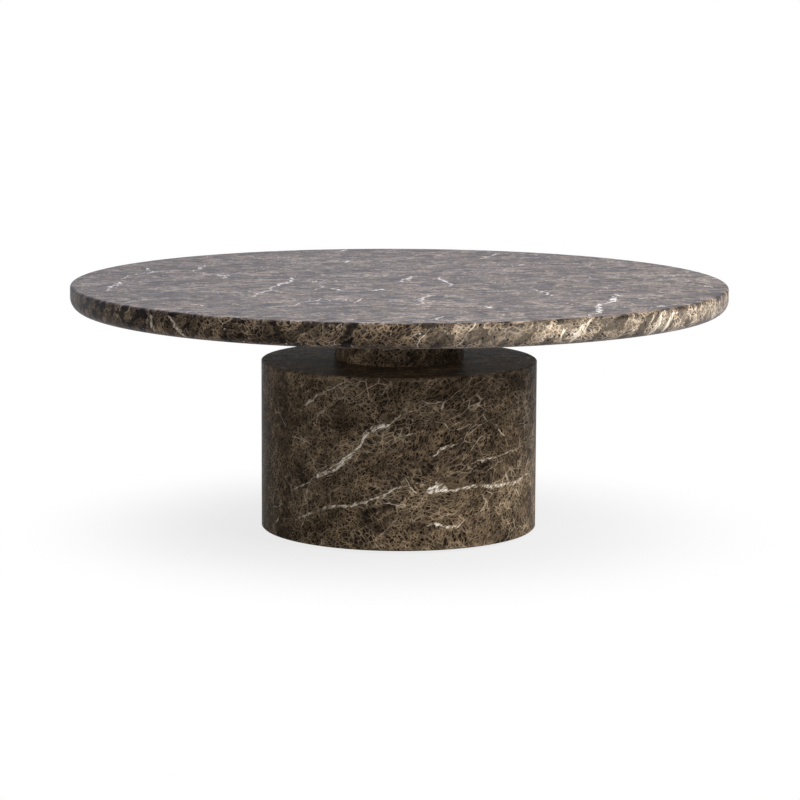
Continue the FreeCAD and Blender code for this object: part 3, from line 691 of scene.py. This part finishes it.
def emperador(name, ground, radius, veins, mottle, chips, bank_and_light, gloss, roughness, haze):
    """Honed dark emperador marble: brown, crazed with pale threads, with a low satin sheen.

    veins maps a way to lay veins out, "face", "wall" or "rim", to a table of them; radius is
    that of the piece, in millimetres; mottle is the least and the greatest shade of its clasts;
    chips is how pale its small calcite chips are; bank_and_light is how strongly the rim is
    lightened on its right, partly as a paler bed of stone and partly as painted light from that
    side; gloss is its specular level; roughness is the least and the greatest
    that the honing leaves; haze is the cool bloom of fine honing, seen at a low angle.
    """
    material, tree, shader, point = new_finish(name)
    stone = add_node(tree, "ShaderNodeGroup", node_tree=ground)
    tree.links.new(point, stone.inputs["Point"])
    colour = stone.outputs["Colour"]

    # How far a place is over the top's upper edge, and over its lower edge
    height = add_node(tree, "ShaderNodeSeparateXYZ", {"Vector": point}).outputs["Z"]
    level, above = (
        add_node(
            tree, "ShaderNodeMapRange", {"Value": height, "From Min": low, "From Max": high}
        ).outputs[0]
        for low, high in (FACE_EDGE, RIM_EDGE)
    )

    # Clasts of broken stone, and pale chips of calcite
    bent = bend_space(tree, point, CLAST_BENDS)
    lay = add_node(
        tree, "ShaderNodeMapping",
        {
            "Vector": bent,
            "Rotation": (0.0, math.radians(BROKEN_LEAN), 0.0),
            "Scale": (BROKEN_STRETCH, 1.0, 1.0),
        },
        vector_type="TEXTURE",
    )
    clasts = add_node(
        tree, "ShaderNodeTexVoronoi",
        {"Vector": lay.outputs[0], "Scale": 1 / BROKEN_SIZE, "Smoothness": BROKEN_SOFTNESS},
        feature="SMOOTH_F1",
    )
    tone = add_node(tree, "ShaderNodeSeparateColor", {"Color": clasts.outputs["Color"]})
    shade = add_node(
        tree, "ShaderNodeMapRange",
        {"Value": tone.outputs["Red"], "From Min": BROKEN_RANGE[0], "From Max": BROKEN_RANGE[1],
         "To Min": mottle[0], "To Max": mottle[1]},
    ).outputs[0]
    if "face" in veins:
        # The sawn underside of the top shows its clasts less than its honed face does
        honed = add_node(tree, "ShaderNodeMapRange", {"Value": above, "To Min": SAWN_MOTTLE})
        shade = add_node(
            tree, "ShaderNodeMix",
            {0: honed.outputs[0], MIX_NUMBER_A: sum(mottle) / 2, MIX_NUMBER_B: shade},
        ).outputs[0]
    colour = add_node(
        tree, "ShaderNodeVectorMath", {0: colour, "Scale": shade}, operation="SCALE"
    ).outputs[0]
    bits = add_node(
        tree, "ShaderNodeTexNoise",
        {"Vector": point, "Scale": 1 / CHIP_SIZE, "Detail": 4, "Roughness": 0.7},
    )
    chip = add_node(
        tree, "ShaderNodeMapRange",
        {"Value": bits.outputs["Fac"], "From Min": CHIP_LEVELS[0], "From Max": CHIP_LEVELS[1],
         "To Max": chips},
    )
    colour = add_node(
        tree, "ShaderNodeMix", {0: chip.outputs[0], MIX_A: colour, MIX_B: linear(CHIP_COLOUR)},
        data_type="RGBA",
    ).outputs[MIX_COLOUR]

    # The veins waver, and break up into flecks
    wavy = bend_space(tree, point, VEIN_BENDS)
    ragged = bend_space(tree, point, FACE_VEIN_BENDS)
    face = add_node(tree, "ShaderNodeSeparateXYZ", {"Vector": ragged}).outputs
    axes = add_node(tree, "ShaderNodeSeparateXYZ", {"Vector": wavy}).outputs
    forward = add_node(tree, "ShaderNodeMath", {0: axes["Y"], 1: -1.0}, operation="MULTIPLY")
    turn = add_node(
        tree, "ShaderNodeMath", {0: axes["X"], 1: forward.outputs[0]}, operation="ARCTAN2"
    )
    round_front = add_node(
        tree, "ShaderNodeMath", {0: turn.outputs[0], 1: radius}, operation="MULTIPLY"
    ).outputs[0]
    layouts = {
        "face": (face["Y"], face["X"]),
        "wall": (round_front, axes["Z"]),
        "rim": (axes["Z"], round_front),
    }
    # Lighter rim on the right: partly a paler bed of stone, partly painted light from that side
    if bank_and_light:
        colour = paler_bank_and_painted_light(tree, colour, round_front, axes["Z"], bank_and_light)
    if "face" in veins:
        colour = thread_net(tree, colour, bent, FACE_NET, level)
    colour = black_specks(tree, point, colour)
    flecks = add_node(
        tree, "ShaderNodeTexNoise", {"Vector": point, "Scale": 1 / FLECK_SIZE, "Detail": 2}
    )
    whole = add_node(
        tree, "ShaderNodeMapRange",
        {"Value": flecks.outputs["Fac"], "From Min": FLECK_LEVELS[0], "From Max": FLECK_LEVELS[1],
         "To Min": LEAST_FLECK},
    )
    for layout, table in veins.items():
        along, across = layouts[layout]
        mask = all_veins(tree, along, across, table)
        if layout == "rim":
            side = add_node(tree, "ShaderNodeMath", {0: above, 1: level}, operation="SUBTRACT")
            mask = add_node(
                tree, "ShaderNodeMath", {0: mask, 1: side.outputs[0]}, operation="MULTIPLY"
            ).outputs[0]
        sheet = add_node(tree, "ShaderNodeCombineXYZ", {"X": along, "Y": across})
        grain = add_node(
            tree, "ShaderNodeMapping",
            {
                "Vector": sheet.outputs[0],
                "Rotation": (0.0, 0.0, math.radians(STRAND_LEANS[layout])),
                "Scale": (STRAND_LENGTH, STRAND_BREADTH, 1.0),
            },
            vector_type="TEXTURE",
        )
        strands = add_node(
            tree, "ShaderNodeTexNoise", {"Vector": grain.outputs[0], "Scale": 1, "Detail": 1}
        )
        strand = add_node(
            tree, "ShaderNodeMapRange",
            {"Value": strands.outputs["Fac"], "From Min": STRAND_LEVELS[0],
             "From Max": STRAND_LEVELS[1], "To Min": LEAST_STRAND},
        )
        broken = add_node(
            tree, "ShaderNodeMath", {0: mask, 1: strand.outputs[0]}, operation="MULTIPLY"
        )
        shown = add_node(
            tree, "ShaderNodeMath", {0: broken.outputs[0], 1: whole.outputs[0]},
            operation="MULTIPLY",
        )
        pale = add_node(
            tree, "ShaderNodeValToRGB", {"Fac": shown.outputs[0]},
            stops=VEIN_COLOURS[layout],
        )
        colour = add_node(
            tree, "ShaderNodeMix",
            {0: shown.outputs[0], MIX_A: colour, MIX_B: pale.outputs["Color"]}, data_type="RGBA",
        ).outputs[MIX_COLOUR]
    tree.links.new(colour, shader.inputs["Base Color"])
    honing = add_node(
        tree, "ShaderNodeTexNoise", {"Vector": point, "Scale": 1 / HONING_SIZE, "Detail": 3}
    )
    work_surface(tree, shader, honing.outputs["Fac"], roughness, HONING_DEPTH)
    shader.inputs["IOR"].default_value = STONE_IOR
    shader.inputs["Specular IOR Level"].default_value = gloss
    shader.inputs["Sheen Weight"].default_value = haze
    shader.inputs["Sheen Roughness"].default_value = BLOOM_SPREAD
    shader.inputs["Sheen Tint"].default_value = linear(BLOOM_COLOUR)
    return material


# Lightening of the rim of the top on its right, partly a paler bed of stone and partly painted
# light from that side: (round from the middle of the front, share), the height above which the
# face hides it and half the band over which it fades there, how much lighter and greyer it is,
# and how far it is evened out towards one colour
BANK_AND_LIGHT_ROUND = ((0, 0.0), (250, 1.0), (620, 1.0), (900, 0.0))
BANK_AND_LIGHT_TOP = 401
BANK_AND_LIGHT_FADE = 3
BANK_AND_LIGHT_LIFT = (2.45, 2.7, 3.05)
BANK_AND_LIGHT_EVEN = 0.3
BANK_AND_LIGHT_STONE = "#5a4d3e"


def paler_bank_and_painted_light(tree, colour, round_front, height, strength):
    """Lighten the rim on its right: partly a paler bed of stone, partly painted light."""
    first, last = BANK_AND_LIGHT_ROUND[0][0], BANK_AND_LIGHT_ROUND[-1][0]
    share = add_node(
        tree, "ShaderNodeMapRange", {"Value": round_front, "From Min": first, "From Max": last}
    )
    across = add_node(
        tree, "ShaderNodeFloatCurve", {"Value": share.outputs[0]},
        points=[((arc - first) / (last - first), value) for arc, value in BANK_AND_LIGHT_ROUND],
    )
    under = add_node(
        tree, "ShaderNodeMapRange",
        {"Value": height, "From Min": BANK_AND_LIGHT_TOP - BANK_AND_LIGHT_FADE, "From Max": BANK_AND_LIGHT_TOP + BANK_AND_LIGHT_FADE,
         "To Min": strength, "To Max": 0.0},
    )
    inside = add_node(
        tree, "ShaderNodeMath", {0: across.outputs[0], 1: under.outputs[0]}, operation="MULTIPLY"
    )
    evener = add_node(
        tree, "ShaderNodeMix", {0: BANK_AND_LIGHT_EVEN, MIX_A: colour, MIX_B: linear(BANK_AND_LIGHT_STONE)},
        data_type="RGBA",
    ).outputs[MIX_COLOUR]
    lighter = add_node(
        tree, "ShaderNodeVectorMath", {0: evener, 1: BANK_AND_LIGHT_LIFT}, operation="MULTIPLY"
    )
    return add_node(
        tree, "ShaderNodeMix",
        {0: inside.outputs[0], MIX_A: colour, MIX_B: lighter.outputs[0]}, data_type="RGBA",
    ).outputs[MIX_COLOUR]


# Roughness, least and greatest, of the two grades of honing
FINE_HONING = (0.34, 0.46)
COARSE_HONING = (0.46, 0.60)

# Stone
ground = emperador_ground()
turned = turned_tree()

drum_radius, drum_foot, _ = round_box("drum_shell")
_, cap_under, drum_top = round_box("drum_cap")
wall_veins = tuple(
    (
        tuple((drum_radius / MM * math.asin(x * MM / drum_radius), z) for x, z in path),
        breadth, strength,
    )
    for path, breadth, strength in WALL_VEINS
) + REAR_WALL_VEINS
drum_stone = emperador(
    "honed_emperador_drum", ground, drum_radius / MM, {"wall": wall_veins},
    mottle=(0.68, 1.32), chips=0.3, bank_and_light=0.0, gloss=0.011, roughness=FINE_HONING, haze=0.0,
)
# The cap, in the shade under the top, is honed coarser, and its stone is painted paler than the
# drum's: painted light on the shaded cap
cap_stone_painted_light = emperador(
    "honed_emperador_cap_painted_light", ground, drum_radius / MM, {"wall": wall_veins},
    mottle=(1.4, 2.1), chips=0.3, bank_and_light=0.0, gloss=0.3, roughness=COARSE_HONING, haze=0.0,
)
top_radius, top_under, top_face = round_box("top_slab")
top_stone = emperador(
    "honed_emperador_top", ground, top_radius / MM, {"face": FACE_VEINS, "rim": RIM_VEINS},
    mottle=(0.15, 1.45), chips=0.8, bank_and_light=1.0, gloss=0.033, roughness=FINE_HONING, haze=0.045,
)
hub_radius, _, hub_top = round_box("anchor_plate")
turn_stone(
    "stone_top", turned,
    (
        (0.0, top_face, 0.0),
        (top_radius, top_face, TOP_UPPER_ROUND),
        (top_radius, top_under, TOP_LOWER_ROUND),
        (hub_radius + FIT_GAP, top_under, 0.0),
        (hub_radius + FIT_GAP, hub_top + FIT_GAP, 0.0),
        (0.0, hub_top + FIT_GAP, 0.0),
    ),
    top_stone, "top_slab",
)

neck_radius, neck_under, neck_top = round_box("neck_ring")
core_radius, _, _ = round_box("core_tube")
neck_middle = (neck_under + neck_top) / 2
bore = core_radius + FIT_GAP
turn_stone(
    "stone_neck", turned,
    (
        (bore, neck_middle, 0.0),
        (bore, neck_top, 0.0),
        (neck_radius, neck_top, ARRIS),
        (neck_radius, neck_under, ARRIS),
        (bore, neck_under, 0.0),
        (bore, neck_middle, 0.0),
    ),
    drum_stone, "neck_ring",
)

# The cap and the shell meet in a mitre that comes out through the middle of the arris
cap_thickness = drum_top - cap_under
shell_bore = drum_radius - DRUM_WALL
mitre = ARRIS / (DRUM_WALL + cap_thickness)
mitre_radius = drum_radius - DRUM_WALL * mitre
mitre_height = drum_top - cap_thickness * mitre
turn_stone(
    "stone_drum_cap", turned,
    (
        (bore, cap_under, 0.0),
        (shell_bore - FIT_GAP, cap_under, 0.0),
        (mitre_radius - FIT_GAP, mitre_height, 0.0),
        (drum_radius - ARRIS - FIT_GAP, drum_top, 0.0),
        (bore, drum_top, 0.0),
        (bore, cap_under, 0.0),
    ),
    cap_stone_painted_light, "drum_cap",
)
ring_radius, _, ring_top = round_box("lower_ring")
rebate = ring_radius + FIT_GAP
turn_stone(
    "stone_drum_shell", turned,
    (
        (rebate, drum_foot, 0.0),
        (drum_radius - ARRIS, drum_foot, 0.0),
        (drum_radius, drum_foot + ARRIS, 0.0),
        (drum_radius, drum_top - ARRIS, 0.0),
        (mitre_radius, mitre_height, 0.0),
        (shell_bore, cap_under, 0.0),
        (shell_bore, ring_top, 0.0),
        (rebate, ring_top, 0.0),
        (rebate, drum_foot, 0.0),
    ),
    drum_stone, "drum_shell",
)


# The other finishes, inside the drum and at its foot. Sizes are in millimetres, a stretch is a
# number of times, a thread's depth is a share of its pitch, and a wall is a share of its granule
PLY = 1.4
PLY_EDGE = (0.46, 0.54)
END_GRAIN = 0.6
FIBRE_BREADTH = 2.2
FIBRE_STRETCH = 45.0
ZINC_CAST = 6
ZINC_CRYSTAL = 0.8
THREAD_PITCH = 1.5
THREAD_DEPTH = 0.6
COAT_RIPPLE = 1.1
LATHE_MARK = 0.4
LATHE_STRETCH = 30.0
CORK_GRANULE = 2.5
CORK_WALL = (0.02, 0.14)
MOULD_GRAIN = 0.5


def birch_plywood(name, across, along):
    """Birch plywood: pale straight grain on the faces, light and dark layers on the edges.

    across is the axis through the layers, and along the axis that the grain follows.
    """
    material, tree, shader, point = new_finish(name)
    axes = add_node(tree, "ShaderNodeSeparateXYZ", {"Vector": point}).outputs
    stretch = [1.0, 1.0, 1.0]
    stretch["XYZ".index(along)] = FIBRE_STRETCH
    fibres = add_node(
        tree, "ShaderNodeMapping", {"Vector": point, "Scale": stretch}, vector_type="TEXTURE"
    )
    grain = add_node(
        tree, "ShaderNodeTexNoise",
        {"Vector": fibres.outputs[0], "Scale": 1 / FIBRE_BREADTH, "Detail": 4, "Distortion": 0.4},
    ).outputs["Fac"]
    wood = add_node(
        tree, "ShaderNodeValToRGB", {"Fac": grain},
        stops=((0.30, "#c29c68"), (0.50, "#d6b886"), (0.70, "#e2cb9f")),
    )
    layers = add_node(
        tree, "ShaderNodeMath", {0: axes[across], 1: 0.5 / PLY}, operation="MULTIPLY"
    )
    layer = add_node(tree, "ShaderNodeMath", {0: layers.outputs[0]}, operation="FRACT")
    end_grain = add_node(
        tree, "ShaderNodeMapRange",
        {"Value": layer.outputs[0], "From Min": PLY_EDGE[0], "From Max": PLY_EDGE[1],
         "To Max": END_GRAIN},
    )
    colour = add_node(
        tree, "ShaderNodeMix",
        {0: end_grain.outputs[0], MIX_A: wood.outputs["Color"], MIX_B: linear("#8d6a40")},
        data_type="RGBA",
    )
    tree.links.new(colour.outputs[MIX_COLOUR], shader.inputs["Base Color"])
    work_surface(tree, shader, grain, roughness=(0.75, 0.55), depth=0.05)
    return material


def zinc_plated_steel(name, pitch=None):
    """Zinc-plated steel: soft grey shine with a faint straw and blue cast; pitch adds a thread."""
    material, tree, shader, point = new_finish(name)
    cast = add_node(
        tree, "ShaderNodeTexNoise", {"Vector": point, "Scale": 1 / ZINC_CAST, "Detail": 3}
    ).outputs["Fac"]
    colour = add_node(
        tree, "ShaderNodeValToRGB", {"Fac": cast},
        stops=((0.32, "#a7afb9"), (0.50, "#bfc1c2"), (0.68, "#c8c2b0")),
    )
    tree.links.new(colour.outputs["Color"], shader.inputs["Base Color"])
    shader.inputs["Metallic"].default_value = 1.0
    if pitch:
        height = add_node(tree, "ShaderNodeSeparateXYZ", {"Vector": point}).outputs["Z"]
        turn = add_node(
            tree, "ShaderNodeMath", {0: height, 1: math.tau / pitch}, operation="MULTIPLY"
        )
        wave = add_node(tree, "ShaderNodeMath", {0: turn.outputs[0]}, operation="SINE")
        thread = add_node(
            tree, "ShaderNodeMapRange", {"Value": wave.outputs[0], "From Min": -1, "From Max": 1}
        )
        work_surface(
            tree, shader, thread.outputs[0], roughness=(0.45, 0.30), depth=THREAD_DEPTH * pitch
        )
    else:
        crystals = add_node(
            tree, "ShaderNodeTexNoise", {"Vector": point, "Scale": 1 / ZINC_CRYSTAL, "Detail": 2}
        )
        work_surface(tree, shader, crystals.outputs["Fac"], roughness=(0.26, 0.44), depth=0.01)
    return material


def matt_black(name, size, stops, roughness, depth):
    """A matt black with a fine grain: the ripple of baked powder coat, or a mould's on nylon."""
    material, tree, shader, point = new_finish(name)
    grain = add_node(
        tree, "ShaderNodeTexNoise", {"Vector": point, "Scale": 1 / size, "Detail": 2}
    ).outputs["Fac"]
    colour = add_node(tree, "ShaderNodeValToRGB", {"Fac": grain}, stops=stops)
    tree.links.new(colour.outputs["Color"], shader.inputs["Base Color"])
    work_surface(tree, shader, grain, roughness, depth)
    return material


def turned_brass(name):
    """Turned brass: warm yellow metal ringed by the fine marks of the lathe."""
    material, tree, shader, point = new_finish(name)
    rings = add_node(
        tree, "ShaderNodeMapping",
        {"Vector": point, "Scale": (LATHE_STRETCH, LATHE_STRETCH, 1.0)}, vector_type="TEXTURE",
    )
    marks = add_node(
        tree, "ShaderNodeTexNoise",
        {"Vector": rings.outputs[0], "Scale": 1 / LATHE_MARK, "Detail": 2},
    ).outputs["Fac"]
    colour = add_node(
        tree, "ShaderNodeValToRGB", {"Fac": marks}, stops=((0.35, "#b08a45"), (0.65, "#cfa95f"))
    )
    tree.links.new(colour.outputs["Color"], shader.inputs["Base Color"])
    shader.inputs["Metallic"].default_value = 1.0
    work_surface(tree, shader, marks, roughness=(0.42, 0.26), depth=0.02)
    return material


def cork_rubber(name):
    """Cork rubber: brown granules of cork, set in dark rubber."""
    material, tree, shader, point = new_finish(name)
    granules = add_node(
        tree, "ShaderNodeTexVoronoi", {"Vector": point, "Scale": 1 / CORK_GRANULE}
    )
    kind = add_node(tree, "ShaderNodeSeparateColor", {"Color": granules.outputs["Color"]})
    cork = add_node(
        tree, "ShaderNodeValToRGB", {"Fac": kind.outputs["Red"]},
        stops=((0.0, "#4a3322"), (0.5, "#7d5836"), (1.0, "#a57c4d")),
    )
    walls = add_node(
        tree, "ShaderNodeTexVoronoi", {"Vector": point, "Scale": 1 / CORK_GRANULE},
        feature="DISTANCE_TO_EDGE",
    )
    body = add_node(
        tree, "ShaderNodeMapRange",
        {"Value": walls.outputs["Distance"], "From Min": CORK_WALL[0], "From Max": CORK_WALL[1]},
    ).outputs[0]
    colour = add_node(
        tree, "ShaderNodeMix",
        {0: body, MIX_A: linear("#1b1613"), MIX_B: cork.outputs["Color"]}, data_type="RGBA",
    )
    tree.links.new(colour.outputs[MIX_COLOUR], shader.inputs["Base Color"])
    work_surface(tree, shader, body, roughness=(0.65, 0.85), depth=0.1)
    return material


def dress(material, *nodes):
    """Give CAD nodes that stay in view their finish."""
    for name in nodes:
        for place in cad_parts[name].material_slots:
            place.material = material


dress(birch_plywood("birch_plywood_level", "Z", "X"), "upper_bulkhead", "lower_ring")
dress(birch_plywood("birch_plywood_ribs_1_3", "Y", "Z"), "carcass_rib_1", "carcass_rib_3")
dress(birch_plywood("birch_plywood_ribs_2_4", "X", "Z"), "carcass_rib_2", "carcass_rib_4")
dress(
    matt_black(
        "black_powder_coat", COAT_RIPPLE, ((0.35, "#131314"), (0.65, "#1f1f21")),
        roughness=(0.62, 0.48), depth=0.04,
    ),
    "anchor_plate", "core_tube", "clamp_plate",
)
dress(
    zinc_plated_steel("zinc_plated_steel"), "anchor_screws", "clamp_washers", "clamp_nuts",
    "bulkhead_screws", "ring_screws", "foot_nuts",
)
dress(
    zinc_plated_steel("zinc_plated_thread", pitch=THREAD_PITCH), "tie_rods",
    *(f"foot_stem_{n}" for n in range(1, 5)),
)
dress(turned_brass("turned_brass"), "top_inserts")
dress(cork_rubber("cork_rubber"), "upper_gasket", "lower_gasket")
dress(
    matt_black(
        "moulded_nylon", MOULD_GRAIN, ((0.35, "#121212"), (0.65, "#212121")),
        roughness=(0.58, 0.42), depth=0.03,
    ),
    *(f"foot_pad_{n}" for n in range(1, 5)),
)


# Studio: strength of the surroundings as a light, size and grey of the paper, the distances between
# which its shadow runs out into plain white, and the share of white near and far
AMBIENT = 0.05
PAPER_SIZE = 60.0
PAPER_GREY = "#a0a0a0"
PAPER_RUN = (0.22, 0.65)
PAPER_WHITE = (0.80, 1.0)
# Lamps: name, width, height, degrees to the right from the front, degrees up, distance from the
# point that they all look at, watts, colour
LAMP_TARGET = Vector((0, 0, 0.25))
LAMPS = (
    ("key softbox", 1.2, 1.2, 53, 31, 3.0, 112, "#ffffff"),
    ("low front strip", 3.0, 0.4, -14, 4, 3.5, 33, "#ffffff"),
    ("back softbox", 2.0, 1.2, 180, 34, 3.2, 14, "#ffffff"),
    ("overhead panel", 1.4, 1.4, 0, 86, 1.5, 18, "#aabfff"),
)


def white_seen(tree):
    """Give 1 where the background itself is seen, directly or mirrored, and 0 where it lights."""
    rays = add_node(tree, "ShaderNodeLightPath").outputs
    faced = add_node(
        tree, "ShaderNodeMath", {0: rays["Is Camera Ray"], 1: rays["Is Glossy Ray"]},
        operation="MAXIMUM",
    )
    return add_node(
        tree, "ShaderNodeMath", {0: faced.outputs[0], 1: rays["Is Transmission Ray"]},
        operation="MAXIMUM",
    ).outputs[0]


world = bpy.data.worlds.new("Studio")
bpy.context.scene.world = world
world.use_nodes = True
seen = white_seen(world.node_tree)
strength = add_node(
    world.node_tree, "ShaderNodeMapRange", {"Value": seen, "To Min": AMBIENT, "To Max": 1.0}
)
background = world.node_tree.nodes["Background"]
background.inputs["Color"].default_value = linear("#ffffff")
world.node_tree.links.new(strength.outputs[0], background.inputs["Strength"])

floor_mesh = bpy.data.meshes.new("floor")
half = PAPER_SIZE / 2
floor_mesh.from_pydata(
    [(-half, -half, 0), (half, -half, 0), (half, half, 0), (-half, half, 0)], [], [(0, 1, 2, 3)]
)
floor = bpy.data.objects.new("floor", floor_mesh)
bpy.context.scene.collection.objects.link(floor)
paper = bpy.data.materials.new("white_paper_sweep")
paper.use_nodes = True
tree = paper.node_tree
matt = add_node(tree, "ShaderNodeBsdfDiffuse", {"Color": linear(PAPER_GREY)})
glow = add_node(tree, "ShaderNodeEmission", {"Color": linear("#ffffff"), "Strength": 1.0})
# Near the table the paper shows the shadow; further off it runs out into plain white
place = add_node(tree, "ShaderNodeTexCoord").outputs["Object"]
reach = add_node(tree, "ShaderNodeVectorMath", {0: place}, operation="LENGTH")
plain = add_node(
    tree, "ShaderNodeMapRange",
    {"Value": reach.outputs["Value"], "From Min": PAPER_RUN[0], "From Max": PAPER_RUN[1],
     "To Min": PAPER_WHITE[0], "To Max": PAPER_WHITE[1]},
    interpolation_type="SMOOTHSTEP",
)
weight = add_node(
    tree, "ShaderNodeMath", {0: white_seen(tree), 1: plain.outputs[0]}, operation="MULTIPLY"
)
mixed = add_node(
    tree, "ShaderNodeMixShader",
    {0: weight.outputs[0], 1: matt.outputs[0], 2: glow.outputs[0]},
)
tree.links.new(mixed.outputs[0], tree.nodes["Material Output"].inputs["Surface"])
floor_mesh.materials.append(paper)


def softbox(name, width, height, azimuth, elevation, distance, power, code):
    """Hang a soft lamp that looks at the middle of the table; azimuth runs right from the front."""
    lamp = bpy.data.lights.new(name, "AREA")
    lamp.shape = "RECTANGLE"
    lamp.size, lamp.size_y = width, height
    lamp.energy = power
    lamp.color = linear(code)[:3]
    holder = bpy.data.objects.new(name, lamp)
    around, above = math.radians(azimuth), math.radians(elevation)
    out = Vector((
        math.sin(around) * math.cos(above), -math.cos(around) * math.cos(above), math.sin(above),
    ))
    holder.matrix_world = (
        Matrix.Translation(LAMP_TARGET + out * distance)
        @ out.to_track_quat("Z", "Y").to_matrix().to_4x4()
    )
    bpy.context.scene.collection.objects.link(holder)


for settings in LAMPS:
    softbox(*settings)

# Camera
lens = bpy.data.cameras.new("camera")
lens.lens = CAMERA_LENS
camera = bpy.data.objects.new("camera", lens)
camera.matrix_world = (
    Matrix.Translation(CAMERA_PLACE)
    @ Matrix.Rotation(-CAMERA_YAW, 4, "Z")
    @ Matrix.Rotation(math.pi / 2 - CAMERA_PITCH, 4, "X")
    @ Matrix.Rotation(CAMERA_ROLL, 4, "Z")
)
bpy.context.scene.collection.objects.link(camera)
bpy.context.scene.camera = camera
bpy.context.scene.view_settings.view_transform = "Standard"
